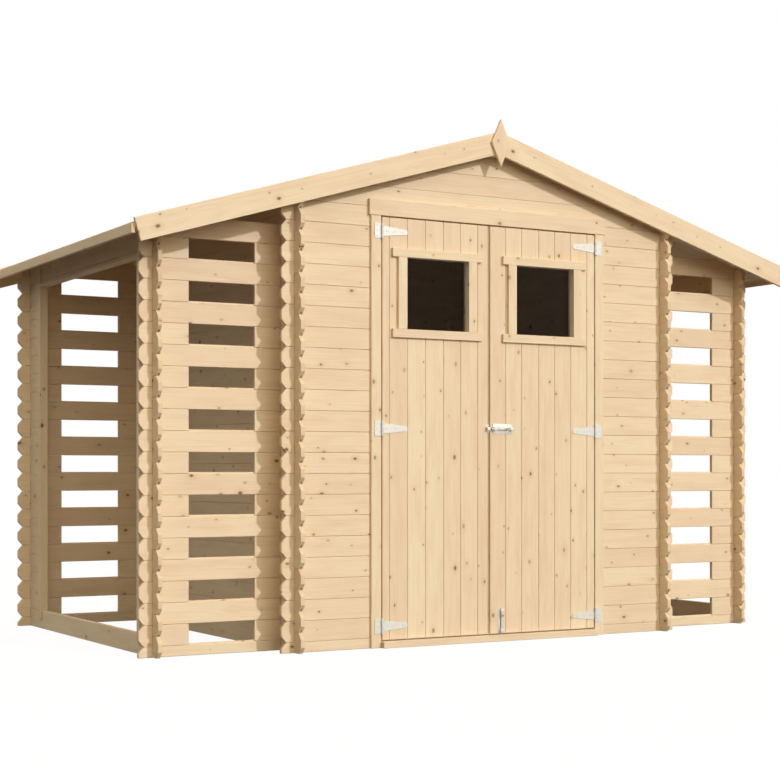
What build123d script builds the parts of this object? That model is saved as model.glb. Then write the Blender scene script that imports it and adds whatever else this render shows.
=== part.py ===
from build123d import *
import os

# A gable-roofed log shed with double doors and an open-sided log store on each side.
# Millimetres. X runs along the front, Y from front to back, Z up from the ground.

# Logs: planed tongue-and-groove boards stacked on edge
course = 88.0
log_thickness = 19.0
log_end_length = 60.0
log_end_taper = 22.0
log_end_rise = 26.0
joint_gap = 0.4
half_course_share = 0.5

# Plan of the walls, to their outer faces
shed_width = 1952.0
shed_depth = 1895.0
store_clear_width = 558.0
store_setback = 132.0

# Courses of logs in the shed's walls, from the ground
wall_courses = 22

# Ventilation slots in the stores' front and back panels, between blocks of these lengths
slot_inner_block = 120.0
slot_outer_block = 159.0

# Stores' open sides
front_return = 134.0
back_return = 181.0
jamb_width = 40.0
jamb_depth = 28.0
jamb_groove_depth = 14.0
jamb_lap = 44.0
head_strip_height = 28.0
head_strip_board = 13.0

# Roof
roof_slope_share = 0.297
roof_seat = 1.0
roof_board = 17.5
eave_overhang = 155.0
verge_overhang = 54.0
eave_board_room = 10.5
barge_height = 100.0
barge_rise = 14.0
barge_thickness = 17.0
eave_strip_height = 38.0
eave_strip_thickness = 17.0
eave_strip_drop = 11.0
finial_half_width = 47.5
finial_height = 211.0
finial_thickness = 14.0
finial_above_ridge = 53.0
ridge_beam_width = 45.0
ridge_beam_room = 60.0
gable_tip_trim = 12.0

# Door frame
doorway_width = 1136.0
frame_width = 48.0
frame_proud = 13.0
frame_web = 22.0
header_height = 70.0
header_lining = 40.0
header_side_lap = 10.0
header_proud = 16.0
stop_lap = 12.0
sill_height = 29.0
sill_proud = 25.0
sill_depth = 66.0

# Door leaves
leaf_thickness = 19.0
leaf_clearance = 5.0
meeting_offset = 18.0
meeting_gap = 12.0
meeting_tongue_width = 6.5
meeting_tongue_thickness = 6.0
ledge_height = 90.0
ledge_thickness = 19.0
ledge_inset = 32.0
ledge_end_room = 28.0
ledge_middle_share = 0.7

# Windows in the leaves
window_width = 314.0
window_height = 310.0
window_drop = 167.0
left_window_inset = 117.0
right_window_inset = 134.0
trim_side_width = 43.0
trim_bar_height = 37.0
trim_bar_overhang = 29.0
trim_thickness = 14.0
glass_thickness = 4.0
glass_lap = 9.0

# Tee hinges
hinge_end_room = 60.0
hinge_metal = 2.5
hinge_plate_width = 29.0
hinge_plate_height = 65.0
hinge_plate_setback = 6.5
knuckle_radius = 5.0
knuckle_sides = 8
hinge_pin_radius = 2.5
pin_clearance = 0.08
strap_length = 126.0
strap_root_height = 44.0
strap_tip_height = 21.0
strap_tip_bevel = 5.0
strap_neck_height = 32.0
strap_neck_length = 8.0

# Barrel bolts: a latch across the meeting edges and a foot bolt into the sill
bolt_radius = 5.0
bolt_clearance = 0.6
bolt_plate_length = 104.0
bolt_plate_width = 45.0
bolt_plate_metal = 2.0
bolt_guide_length = 16.0
bolt_rod_length = 112.0
bolt_knob_place = 78.0
bolt_knob_radius = 4.0
bolt_knob_height = 15.0
latch_inset = 13.0
latch_tip_inset = 3.0
latch_rise = 5.0
keep_width = 16.0
keep_height = 36.0
keep_overhang = 5.0
foot_bolt_inset = 57.0
foot_plate_width = 31.0
foot_plate_room = 6.0
foot_rod_room = 2.0

# Seats: pieces that are screwed together keep this hair of room
seat_gap = 0.3

# Worked out from the sizes above
shed_half_width = shed_width / 2
shed_half_depth = shed_depth / 2
store_half_width = shed_half_width + store_clear_width + log_thickness
store_half_depth = shed_half_depth - store_setback
barge_half_width = store_half_width + eave_overhang
roof_half_width = barge_half_width - eave_board_room
roof_half_depth = shed_half_depth + verge_overhang
ridge_under = wall_courses * course + roof_seat + roof_slope_share * shed_half_width
ridge_top = ridge_under + roof_board
barge_ridge = ridge_top + barge_rise
barge_face = roof_half_depth + barge_thickness
slot_inner = shed_half_width + slot_inner_block
slot_outer = store_half_width - slot_outer_block
opening_front = -store_half_depth + log_thickness + front_return
opening_back = store_half_depth - log_thickness - back_return

wall_top = (wall_courses - half_course_share) * course
gable_courses = int((ridge_under - wall_top - ridge_beam_room) / course)
store_eave = ridge_under - roof_slope_share * store_half_width
store_side_courses = int(store_eave / course)
store_courses = store_side_courses + 1

frame_inner = doorway_width / 2
frame_outer = frame_inner + frame_width
frame_front = -shed_half_depth - frame_proud
frame_depth = log_thickness + 2 * frame_proud
wall_end = frame_inner + frame_web + joint_gap
header_bottom = wall_top - header_lining
header_half_length = frame_outer + header_side_lap

leaf_back = frame_front + leaf_thickness
frame_back = frame_front + frame_depth
stop_front = leaf_back + leaf_clearance
stop_inner = frame_inner - leaf_clearance - stop_lap
stop_bottom = header_bottom - leaf_clearance - stop_lap
leaf_bottom = sill_height + leaf_clearance
leaf_top = header_bottom - leaf_clearance
leaf_edge = frame_inner - leaf_clearance
left_meeting = -meeting_offset - meeting_gap / 2
right_meeting = -meeting_offset + meeting_gap / 2
window_top = leaf_top - window_drop
window_bottom = window_top - window_height
left_window_centre = -leaf_edge + left_window_inset + window_width / 2
right_window_centre = right_meeting + right_window_inset + window_width / 2
ledge_low = leaf_bottom + ledge_end_room
ledge_high = leaf_top - ledge_end_room - ledge_height
ledge_middle = leaf_bottom + ledge_middle_share * (window_bottom - leaf_bottom)

hinge_axis_x = frame_inner - leaf_clearance / 2
hinge_axis_y = frame_front - seat_gap - knuckle_radius
hinge_low = leaf_bottom + hinge_end_room
hinge_high = leaf_top - hinge_end_room
hinge_heights = (hinge_low, (hinge_low + hinge_high) / 2, hinge_high)
hardware_face = frame_front - seat_gap
bolt_axis = bolt_plate_metal + bolt_clearance + bolt_radius
latch_height = (hinge_low + hinge_high) / 2 + latch_rise
latch_start = right_meeting + latch_inset
latch_tip = right_meeting + latch_tip_inset
foot_bolt_place = right_meeting + foot_bolt_inset
foot_plate_bottom = leaf_bottom + foot_plate_room
foot_rod_bottom = leaf_bottom + foot_rod_room

X_AXIS = (1, 0, 0)
Y_AXIS = (0, 1, 0)
Z_AXIS = (0, 0, 1)


def prism(points, direction, length):
    """A straight bar: a flat outline pushed along a direction."""
    return extrude(Face(Wire.make_polygon(points, close=True)), amount=length, dir=direction)


def block(x_low, x_high, y_low, y_high, z_low, z_high):
    """A squared timber between two corners."""
    size = (x_high - x_low, y_high - y_low, z_high - z_low)
    return Pos(x_low, y_low, z_low) * Box(*size, align=(Align.MIN, Align.MIN, Align.MIN))


def rod(start, direction, radius, length):
    """A round bar from a point along a direction."""
    return Plane(origin=start, z_dir=direction) * Cylinder(
        radius, length, align=(Align.CENTER, Align.CENTER, Align.MIN)
    )


def octagon_bar(start, direction, across, length, over_corners=False):
    """A bar of few sides from a point along a direction, measured across its flats or its corners."""
    section = RegularPolygon(across / 2, knuckle_sides, major_radius=over_corners)
    return extrude(Plane(origin=start, z_dir=direction) * section, amount=length)


def to_right(shapes):
    """The same pieces on the other side of the building."""
    return [mirror(shape, about=Plane.YZ) for shape in shapes]


def log_outline(start, end, bottom, top, crossings, notch, free_start, free_end, low_taper, cap):
    """A log seen from its side: tapered free ends, and a notch below at each crossing."""
    rise_low = log_end_rise if low_taper else 0
    taper_low = log_end_taper if low_taper else 0
    points = []
    if free_start:
        points += [(start, top - log_end_rise), (start, bottom + rise_low)]
        if low_taper:
            points += [(start + taper_low, bottom)]
    else:
        points += [(start, top), (start, bottom)]
    for low in crossings:
        if notch > bottom:
            edge_low = low - joint_gap
            edge_high = low + log_thickness + joint_gap
            points += [(edge_low, bottom), (edge_low, notch), (edge_high, notch), (edge_high, bottom)]
    if free_end:
        if low_taper:
            points += [(end - taper_low, bottom)]
        points += [(end, bottom + rise_low), (end, top - log_end_rise), (end - log_end_taper, top)]
    else:
        points += [(end, bottom), (end, top)]
    if cap > top:
        cap_end = crossings[-1] - joint_gap if free_end else end
        cap_start = crossings[0] + log_thickness + joint_gap if free_start else start
        points += [(cap_end, top)] if free_end else []
        points += [(cap_end, cap), (cap_start, cap)]
        points += [(cap_start, top)] if free_start else []
    if free_start:
        points += [(start + log_end_taper, top)]
    return points


def log_along_x(start, end, face, bottom, top, crossings=(), notch=0, free=(True, True), low_taper=True):
    """A log of a front or back wall, with its outer or inner face at the given Y."""
    outline = log_outline(start, end, bottom, top, crossings, notch, *free, low_taper, 0)
    return prism([(along, face, height) for along, height in outline], Y_AXIS, log_thickness)


def log_along_y(start, end, face, bottom, top, crossings=(), notch=0, free=(True, True), cap=0):
    """A log of a side wall or partition, with its low-X face at the given X."""
    outline = log_outline(start, end, bottom, top, crossings, notch, *free, True, cap)
    return prism([(face, along, height) for along, height in outline], X_AXIS, log_thickness)


def front_course(number):
    """Bottom, top and notch of a course in a front or back wall, which starts with a half log."""
    middle = number * course
    bottom = max(0, middle - half_course_share * course)
    return bottom, middle + half_course_share * course - joint_gap, middle


def side_course(number):
    """Bottom, top and notch of a course in a side wall, which starts with a whole log."""
    bottom = number * course
    return bottom, bottom + course - joint_gap, bottom + half_course_share * course


def roof_under(x):
    return ridge_under - roof_slope_share * abs(x)


def roof_upper(x):
    return ridge_top - roof_slope_share * abs(x)


def barge_upper(x):
    return barge_ridge - roof_slope_share * abs(x)


def above_roof():
    """The space over the roof boards' underside, which trims the upper logs."""
    reach = roof_half_width
    outline = [
        (-reach, roof_under(reach) - seat_gap),
        (0, ridge_under - seat_gap),
        (reach, roof_under(reach) - seat_gap),
        (reach, ridge_top + course),
        (-reach, ridge_top + course),
    ]
    points = [(x, -roof_half_depth, z) for x, z in outline]
    return prism(points, Y_AXIS, 2 * roof_half_depth)


roof_space = above_roof()


def trimmed(shape):
    return shape - roof_space


def door_wall_left():
    """The front wall's logs from the left corner to the door frame."""
    logs = []
    for number in range(wall_courses):
        bottom, top, notch = front_course(number)
        start = -shed_half_width - log_end_length
        crossings = (-shed_half_width,)
        free = (True, False)
        low_taper = number > 0
        logs.append(
            log_along_x(start, -wall_end, -shed_half_depth, bottom, top, crossings, notch, free, low_taper)
        )
    return logs


def gable(face):
    """The logs over the door: one that crosses the partitions, then logs cut to the roof."""
    corner = shed_half_width + log_end_length
    crossings = (-shed_half_width, shed_half_width - log_thickness)
    bottom, top, notch = front_course(wall_courses)
    logs = [trimmed(log_along_x(-corner, corner, face, bottom, top, crossings, notch))]
    for number in range(wall_courses + 1, wall_courses + gable_courses):
        bottom, top, notch = front_course(number)
        tip = (ridge_under - bottom) / roof_slope_share - gable_tip_trim
        logs.append(trimmed(log_along_x(-tip, tip, face, bottom, top, free=(False, False))))
    bottom = top + joint_gap
    tip = (ridge_under - bottom) / roof_slope_share - gable_tip_trim
    beam_side = ridge_beam_width / 2 + joint_gap
    peak = log_along_x(beam_side, tip, face, bottom, ridge_top, free=(False, False))
    peaks = [trimmed(peak)]
    return logs + peaks + to_right(peaks)


def back_wall():
    """Whole logs from corner to corner, and the rear gable."""
    face = shed_half_depth - log_thickness
    corner = shed_half_width + log_end_length
    crossings = (-shed_half_width, shed_half_width - log_thickness)
    logs = []
    for number in range(wall_courses):
        bottom, top, notch = front_course(number)
        low_taper = number > 0
        logs.append(
            log_along_x(-corner, corner, face, bottom, top, crossings, notch, low_taper=low_taper)
        )
    return logs + gable(face)


def left_partition():
    """The shed's own side wall, which the store leans on. Its top log stops behind the gable boards."""
    full_reach = shed_half_depth + log_end_length
    crossings = (-shed_half_depth, shed_half_depth - log_thickness)
    logs = []
    for number in range(wall_courses):
        bottom, top, notch = side_course(number)
        last = number == wall_courses - 1
        cap = ridge_under if last else 0
        reach = min(full_reach, roof_half_depth - joint_gap) if last else full_reach
        piece = log_along_y(-reach, reach, -shed_half_width, bottom, top, crossings, notch, cap=cap)
        logs.append(trimmed(piece) if last else piece)
    return logs


def left_store_panel(face):
    """A store's front or back: whole logs with pairs of short blocks between, which leave slots."""
    outer_end = -store_half_width - log_end_length
    inner_end = -shed_half_width - joint_gap
    crossings = (-store_half_width,)
    free = (True, False)
    logs = []
    for number in range(store_courses):
        bottom, top, notch = front_course(number)
        low_taper = number > 0
        last = number == store_courses - 1
        slotted = number % 2 == 1 and not last
        end = -slot_outer if slotted else inner_end
        piece = log_along_x(outer_end, end, face, bottom, top, crossings, notch, free, low_taper)
        logs.append(trimmed(piece) if last else piece)
        if slotted:
            logs.append(block(-slot_inner, inner_end, face, face + log_thickness, bottom, top))
    return logs


def left_store_side():
    """The store's open side: a sill log, short returns at both corners and a head log between the posts."""
    reach = store_half_depth + log_end_length
    front_crossing = -store_half_depth
    back_crossing = store_half_depth - log_thickness
    front_end = opening_front - jamb_depth + jamb_groove_depth - joint_gap
    back_end = opening_back + jamb_depth - jamb_groove_depth + joint_gap
    logs = []
    for number in range(store_side_courses):
        bottom, top, notch = side_course(number)
        if number == 0:
            both = (front_crossing, back_crossing)
            logs.append(log_along_y(-reach, reach, -store_half_width, bottom, top, both, notch))
        else:
            last = number == store_side_courses - 1
            face = -store_half_width
            cap = ridge_under if last else 0
            ends = (True, False), (False, True)
            near = log_along_y(-reach, front_end, face, bottom, top, (front_crossing,), notch, ends[0], cap)
            far = log_along_y(back_end, reach, face, bottom, top, (back_crossing,), notch, ends[1], cap)
            logs += [trimmed(near), trimmed(far)] if last else [near, far]
    head_start, head_end = opening_front + joint_gap, opening_back - joint_gap
    head_bottom = (store_side_courses - 1) * course
    outer, inner = -store_half_width, -store_half_width + log_thickness
    head = block(outer, inner, head_start, head_end, head_bottom, ridge_under)
    return logs + [trimmed(head)]


def left_opening_frame():
    """Grooved posts that take the short logs' ends, astride the sill, and a strip under the head log."""
    middle = -store_half_width + log_thickness / 2
    low = middle - jamb_width / 2
    high = middle + jamb_width / 2
    groove_low = -store_half_width - joint_gap
    groove_high = -store_half_width + log_thickness + joint_gap
    sill_top = course
    head_seat = (store_side_courses - 1) * course - joint_gap

    def post(open_face, back_face):
        near, far = min(open_face, back_face), max(open_face, back_face)
        towards_logs = 1 if back_face > open_face else -1
        groove_floor = back_face - towards_logs * jamb_groove_depth
        bar = block(low, high, near, far, sill_top - jamb_lap, ridge_top)
        groove_near, groove_far = min(groove_floor, back_face), max(groove_floor, back_face)
        bar -= block(groove_low, groove_high, groove_near, groove_far, 0, ridge_top)
        return trimmed(bar - block(groove_low, groove_high, near, far, 0, sill_top))

    front_post = post(opening_front, opening_front - jamb_depth)
    back_post = post(opening_back, opening_back + jamb_depth)
    strip_bottom = head_seat - head_strip_height
    step = strip_bottom + head_strip_board
    section = [
        (low, strip_bottom),
        (high, strip_bottom),
        (high, step),
        (-store_half_width + log_thickness, step),
        (-store_half_width + log_thickness, head_seat),
        (-store_half_width, head_seat),
        (-store_half_width, step),
        (low, step),
    ]
    start = opening_front + joint_gap
    length = opening_back - opening_front - 2 * joint_gap
    strip = prism([(x, start, z) for x, z in section], Y_AXIS, length)
    return [front_post, back_post, strip]


def left_roof():
    """The left slope of roof boards, square-cut at the eave."""
    eave_inset = roof_board * roof_slope_share
    outline = [
        (-joint_gap, ridge_under),
        (-joint_gap, ridge_top),
        (-roof_half_width, roof_upper(roof_half_width)),
        (-roof_half_width + eave_inset, roof_under(roof_half_width - eave_inset)),
    ]
    return [prism([(x, -roof_half_depth, z) for x, z in outline], Y_AXIS, 2 * roof_half_depth)]


def left_eave_strip():
    """The strip over the board ends along the eave."""
    inner = -roof_half_width - seat_gap
    top = roof_upper(roof_half_width) - eave_strip_drop
    reach = roof_half_depth - seat_gap
    return [block(inner - eave_strip_thickness, inner, -reach, reach, top - eave_strip_height, top)]


def left_barge(face):
    """A gable board that stands a little over the roof boards, square-cut at its foot."""
    foot_inset = barge_height * roof_slope_share
    foot_inset /= 1 + roof_slope_share**2
    foot = barge_half_width - foot_inset
    outline = [
        (-joint_gap, barge_ridge),
        (-barge_half_width, barge_upper(barge_half_width)),
        (-foot, barge_upper(foot) - barge_height),
        (-joint_gap, barge_ridge - barge_height),
    ]
    return [prism([(x, face, z) for x, z in outline], Y_AXIS, barge_thickness)]


def finial(face):
    """The upright lozenge that covers the joint of the gable boards."""
    top = barge_ridge + finial_above_ridge
    bottom = top - finial_height
    middle = (top + bottom) / 2
    outline = [(0, bottom), (finial_half_width, middle), (0, top), (-finial_half_width, middle)]
    return [prism([(x, face, z) for x, z in outline], Y_AXIS, finial_thickness)]


def ridge_beam():
    """The purlin under the ridge, which rests on both gables."""
    side = ridge_beam_width / 2
    bottom, top, notch = front_course(wall_courses + gable_courses - 1)
    seat = top + joint_gap
    outline = [
        (-side, seat),
        (side, seat),
        (side, roof_under(side) - seat_gap),
        (0, ridge_under - seat_gap),
        (-side, roof_under(side) - seat_gap),
    ]
    length = 2 * (roof_half_depth - seat_gap)
    return [prism([(x, -roof_half_depth + seat_gap, z) for x, z in outline], Y_AXIS, length)]


def left_door_post():
    """A grooved post: it caps the log ends, shows as a board on the front and stops the leaf behind."""
    post = block(-frame_outer, -frame_inner, frame_front, frame_front + frame_depth, 0, header_bottom)
    groove_floor = -frame_inner - frame_web
    groove_front = -shed_half_depth - joint_gap
    groove_back = -shed_half_depth + log_thickness + joint_gap
    post -= block(-frame_outer, groove_floor, groove_front, groove_back, 0, header_bottom)
    stop_foot = sill_height + joint_gap
    return [post + block(-frame_inner, -stop_inner, stop_front, frame_back, stop_foot, header_bottom)]


def door_header():
    """The board over the doors, with a lining that fills the wall above the posts."""
    board_front = -shed_half_depth - header_proud
    board_back = -shed_half_depth - seat_gap
    lining_half = frame_inner + frame_web
    bottom = header_bottom + joint_gap
    lining_top = wall_top - joint_gap
    half, top = header_half_length, bottom + header_height
    board = block(-half, half, board_front, board_back, bottom, top)
    header = board + block(-lining_half, lining_half, board_back, frame_back, bottom, lining_top)
    stop_half = stop_inner - joint_gap
    return [header + block(-stop_half, stop_half, stop_front, frame_back, stop_bottom, bottom)]


def door_sill():
    """The threshold between the posts, with a square mortise for the foot bolt."""
    front = frame_front - sill_proud
    half = frame_inner - joint_gap
    sill = block(-half, half, front, front + sill_depth, 0, sill_height)
    room = bolt_radius + bolt_clearance
    axis = hardware_face - bolt_axis
    low, high = foot_bolt_place - room, foot_bolt_place + room
    return [sill - block(low, high, axis - room, axis + room, 0, sill_height)]


def leaf(x_low, x_high, window_centre):
    """A ledged door: a sheet of upright boards with ledges behind, cut for its window."""
    sheet = block(x_low, x_high, frame_front, leaf_back, leaf_bottom, leaf_top)
    back = leaf_back + ledge_thickness
    for bottom in (ledge_low, ledge_middle, ledge_high):
        start, end = x_low + ledge_inset, x_high - ledge_inset
        sheet += block(start, end, leaf_back, back, bottom, bottom + ledge_height)
    half = window_width / 2
    low, high = window_centre - half, window_centre + half
    return [sheet - block(low, high, frame_front, leaf_back, window_bottom, window_top)]


def right_leaf():
    """The leaf that opens first, with the tongue of its last board in the meeting gap."""
    boards = leaf(right_meeting, leaf_edge, right_window_centre)[0]
    front = frame_front + (leaf_thickness - meeting_tongue_thickness) / 2
    back = front + meeting_tongue_thickness
    start = right_meeting - meeting_tongue_width
    return [boards + block(start, right_meeting, front, back, leaf_bottom, leaf_top)]


def trim_ring(centre, front, back, overhang):
    """Four boards round a window, the top and bottom ones running past the sides."""
    half = window_width / 2
    side = half + trim_side_width
    bar = side + overhang
    low, high = window_bottom - trim_bar_height, window_top + trim_bar_height
    ring = block(centre - side, centre + side, front, back, low, high)
    ring += block(centre - bar, centre + bar, front, back, low, window_bottom)
    ring += block(centre - bar, centre + bar, front, back, window_top, high)
    return ring - block(centre - half, centre + half, front, back, window_bottom, window_top)


def window_frame(centre):
    """Trim boards in front, and a rebated ring behind the leaf that holds the pane."""
    front_ring = trim_ring(centre, hardware_face - trim_thickness, hardware_face, trim_bar_overhang)
    back = leaf_back + seat_gap
    back_ring = trim_ring(centre, back, back + trim_thickness, 0)
    half = window_width / 2 + glass_lap
    low, high = window_bottom - glass_lap, window_top + glass_lap
    rebate = block(centre - half, centre + half, back, back + glass_thickness + seat_gap, low, high)
    return [front_ring, back_ring - rebate]


def window_glass(centre):
    """The pane, laid against the back of the boards in the back ring's rebate."""
    half = window_width / 2 + glass_lap - seat_gap
    low, high = window_bottom - glass_lap + seat_gap, window_top + glass_lap - seat_gap
    front = leaf_back + seat_gap
    return [block(centre - half, centre + half, front, front + glass_thickness, low, high)]


def left_hinge_plates():
    """The fixed halves: a plate on the post, two knuckles and the pin."""
    plates = []
    back = hardware_face
    setback = -hinge_axis_x - hinge_plate_setback
    for height in hinge_heights:
        low, high = height - hinge_plate_height / 2, height + hinge_plate_height / 2
        neck_low, neck_high = height - strap_neck_height / 2, height + strap_neck_height / 2
        plate = block(setback - hinge_plate_width, -hinge_axis_x, back - hinge_metal, back, low, high)
        plate -= block(setback, -hinge_axis_x, back - hinge_metal, back, neck_low, neck_high)
        knuckle = neck_low - low
        for foot in (low, neck_high):
            start = (-hinge_axis_x, hinge_axis_y, foot)
            plate += octagon_bar(start, Z_AXIS, 2 * knuckle_radius, knuckle)
        pin_foot = (-hinge_axis_x, hinge_axis_y, neck_low)
        if height == hinge_heights[1]:
            pin = rod(pin_foot, Z_AXIS, hinge_pin_radius, strap_neck_height)
        else:
            pin = octagon_bar(pin_foot, Z_AXIS, 2 * hinge_pin_radius, strap_neck_height, over_corners=True)
        plates.append(plate + pin)
    return plates


def left_hinge_straps():
    """The moving halves: a tapered strap with a clipped tip and the middle knuckle."""
    straps = []
    front = hardware_face - hinge_metal
    neck = strap_neck_height / 2 - joint_gap
    root = strap_root_height / 2
    tip = strap_tip_height / 2
    root_x = -hinge_axis_x + strap_neck_length
    tip_x = -hinge_axis_x + strap_length
    half_outline = [
        (-hinge_axis_x, neck),
        (root_x, neck),
        (root_x, root),
        (tip_x - strap_tip_bevel, tip),
        (tip_x, tip - strap_tip_bevel),
    ]
    outline = half_outline + [(x, -z) for x, z in reversed(half_outline)]
    for height in hinge_heights:
        strap = prism([(x, front, height + z) for x, z in outline], Y_AXIS, hinge_metal)
        foot = (-hinge_axis_x, hinge_axis_y, height - neck)
        strap += octagon_bar(foot, Z_AXIS, 2 * knuckle_radius, 2 * neck)
        bore = 2 * (hinge_pin_radius + pin_clearance)
        straps.append(strap - octagon_bar(foot, Z_AXIS, bore, 2 * neck))
    return straps


def staple(start, end):
    """A bent strap over a bolt that lies along X, on a plate with its front at minus its metal."""
    metal = bolt_plate_metal
    room = bolt_radius + bolt_clearance
    crown = bolt_axis + room
    hoop = block(start, end, -crown - metal, -metal, -room - metal, room + metal)
    return hoop - block(start, end, -crown, -metal, -room, room)


def bolt_housing(length, width):
    """A bolt's plate with two guides, lying along X from the origin, its back at Y zero."""
    housing = block(0, length, -bolt_plate_metal, 0, -width / 2, width / 2)
    for start in (0, length - bolt_guide_length):
        housing += staple(start, start + bolt_guide_length)
    return housing


def bolt_rod():
    """A round bolt along X from the origin with a knob that stands out in front."""
    bar = rod((0, -bolt_axis, 0), X_AXIS, bolt_radius, bolt_rod_length)
    knob_foot = (bolt_knob_place, -bolt_axis, 0)
    return bar + octagon_bar(knob_foot, (0, -1, 0), 2 * bolt_knob_radius, bolt_knob_height)


def upright(x, z):
    """Turns a bolt that lies along X to stand on the leaf's front at a place."""
    return Pos(x, hardware_face, z) * Rot(0, -90, 0)


def latch_keep():
    """The staple on the left leaf that takes the latch bolt's tip."""
    half = keep_height / 2
    keep = block(0, keep_width, -bolt_plate_metal, 0, -half, half) + staple(0, keep_width)
    return [Pos(left_meeting + keep_overhang - keep_width, hardware_face, latch_height) * keep]


def save(name, shapes):
    solids = [solid for shape in shapes for solid in shape.solids()]
    piece = solids[0] if len(solids) == 1 else Compound(children=solids)
    export_step(piece, os.path.join("parts", name + ".step"))


def save_pair(name, shapes):
    save("left_" + name, shapes)
    save("right_" + name, to_right(shapes))


os.makedirs("parts", exist_ok=True)
wall_left = door_wall_left()
save("front_wall_left", wall_left)
save("front_wall_right", to_right(wall_left))
save("front_gable", gable(-shed_half_depth))
save("back_wall", back_wall())
save_pair("partition", left_partition())
save_pair("store_front", left_store_panel(-store_half_depth))
save_pair("store_back", left_store_panel(store_half_depth - log_thickness))
save_pair("store_side", left_store_side())
save_pair("opening_frame", left_opening_frame())

save("ridge_beam", ridge_beam())
save_pair("roof", left_roof())
save_pair("eave_strip", left_eave_strip())
save_pair("front_barge", left_barge(-barge_face))
save_pair("back_barge", left_barge(roof_half_depth))
save("front_finial", finial(-barge_face - seat_gap - finial_thickness))
save("back_finial", finial(barge_face + seat_gap))

save_pair("door_post", left_door_post())
save("door_header", door_header())
save("door_sill", door_sill())
save("left_leaf", leaf(-leaf_edge, left_meeting, left_window_centre))
save("right_leaf", right_leaf())
save("left_window_frame", window_frame(left_window_centre))
save("right_window_frame", window_frame(right_window_centre))
save("left_window_glass", window_glass(left_window_centre))
save("right_window_glass", window_glass(right_window_centre))
save_pair("hinge_plates", left_hinge_plates())
save_pair("hinge_straps", left_hinge_straps())
latch_plate = bolt_housing(bolt_plate_length, bolt_plate_width)
foot_plate = bolt_housing(bolt_plate_length, foot_plate_width)
save("latch_plate", [Pos(latch_start, hardware_face, latch_height) * latch_plate])
save("latch_bolt", [Pos(latch_tip, hardware_face, latch_height) * bolt_rod()])
save("latch_keep", latch_keep())
save("foot_bolt_plate", [upright(foot_bolt_place, foot_plate_bottom) * foot_plate])
save("foot_bolt_rod", [upright(foot_bolt_place, foot_rod_bottom) * bolt_rod()])
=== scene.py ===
# %% [markdown]
# # A log shed with an open log store on each side
# The building is a kit of planed spruce logs that lock together at the corners. The CAD model gives
# every log its true size and place, so this lesson dresses it: the edges are eased, each board gets
# its own grain, and the door boards, roof boards and fittings get the detail of the real ones.

# %% Load the frame
import bpy
import math
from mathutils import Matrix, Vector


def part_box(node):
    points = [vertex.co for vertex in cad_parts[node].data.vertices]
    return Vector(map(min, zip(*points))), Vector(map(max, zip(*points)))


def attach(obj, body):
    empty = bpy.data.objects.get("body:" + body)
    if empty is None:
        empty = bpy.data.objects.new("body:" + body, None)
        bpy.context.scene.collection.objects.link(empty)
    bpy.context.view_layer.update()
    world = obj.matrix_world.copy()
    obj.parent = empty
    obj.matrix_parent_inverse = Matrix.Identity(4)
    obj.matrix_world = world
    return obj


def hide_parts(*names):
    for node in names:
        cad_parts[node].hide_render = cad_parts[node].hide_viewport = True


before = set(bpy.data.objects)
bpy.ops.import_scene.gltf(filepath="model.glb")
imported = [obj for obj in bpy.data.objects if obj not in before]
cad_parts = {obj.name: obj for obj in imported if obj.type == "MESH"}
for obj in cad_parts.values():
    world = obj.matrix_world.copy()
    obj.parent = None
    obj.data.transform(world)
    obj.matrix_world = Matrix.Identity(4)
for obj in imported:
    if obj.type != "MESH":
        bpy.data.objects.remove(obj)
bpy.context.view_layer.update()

import zlib
import numpy as np
from mathutils import Vector

MM = 0.001

# %% [markdown]
# ## Two helpers for finishes
# Colours are picked as a screen shows them, but shaders calculate with light, so one function turns a
# hex colour into linear values. The other adds a node, sets it and links it in a single line, which
# keeps a node tree readable from top to bottom.


# %% Colour and node helpers
def linear(hex_colour):
    """A screen colour such as EDD2AF as the linear RGBA that shaders use."""
    shares = [int(hex_colour[i:i + 2], 16) / 255 for i in (0, 2, 4)]
    light = [s / 12.92 if s <= 0.04045 else ((s + 0.055) / 1.055) ** 2.4 for s in shares]
    return (*light, 1.0)


def add(tree, kind, inputs=None, **settings):
    """One node, with its settings, and its inputs set to values or linked to sockets."""
    node = tree.nodes.new(kind)
    for setting, value in settings.items():
        setattr(node, setting, value)
    for socket, source in (inputs or {}).items():
        if isinstance(source, bpy.types.NodeSocket):
            tree.links.new(source, node.inputs[socket])
        else:
            node.inputs[socket].default_value = source
    return node


def new_finish(name):
    """An empty material with its output node."""
    finish = bpy.data.materials.new(name)
    finish.use_nodes = True
    finish.node_tree.nodes.clear()
    output = add(finish.node_tree, "ShaderNodeOutputMaterial")
    return finish, finish.node_tree, output


print("pine yellow in linear light:", [round(c, 3) for c in linear("EDD2AF")[:3]])

# %% [markdown]
# ## Camera
# The photograph keeps all uprights parallel, so its camera was level and the picture was shifted. A
# level camera with a vertical shift does the same here, where tilting it would make the walls lean.

# %% Camera at the photograph's place
camera_data = bpy.data.cameras.new("camera")
camera_data.sensor_width = 36.0
camera_data.lens = 76.09
camera_data.shift_y = 0.10356
camera = bpy.data.objects.new("camera", camera_data)
camera.location = (-4.0407, -7.1032, 0.7593)
camera.rotation_euler = (math.radians(90), 0, math.radians(-29.784))
bpy.context.scene.collection.objects.link(camera)
bpy.context.scene.camera = camera
print("camera", tuple(camera.location), "lens", camera_data.lens)

# %% [markdown]
# ## Light and floor
# One broad lamp stands in for the low sun at the right, which throws the scalloped shadows of the log
# ends. A sky that is dim at the horizon, bright in front and a little bright behind fills the shade and
# leaves it dark under the eaves. The floor and the sky look white to the camera and in reflections only,
# so they don't add light to the wood.

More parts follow.
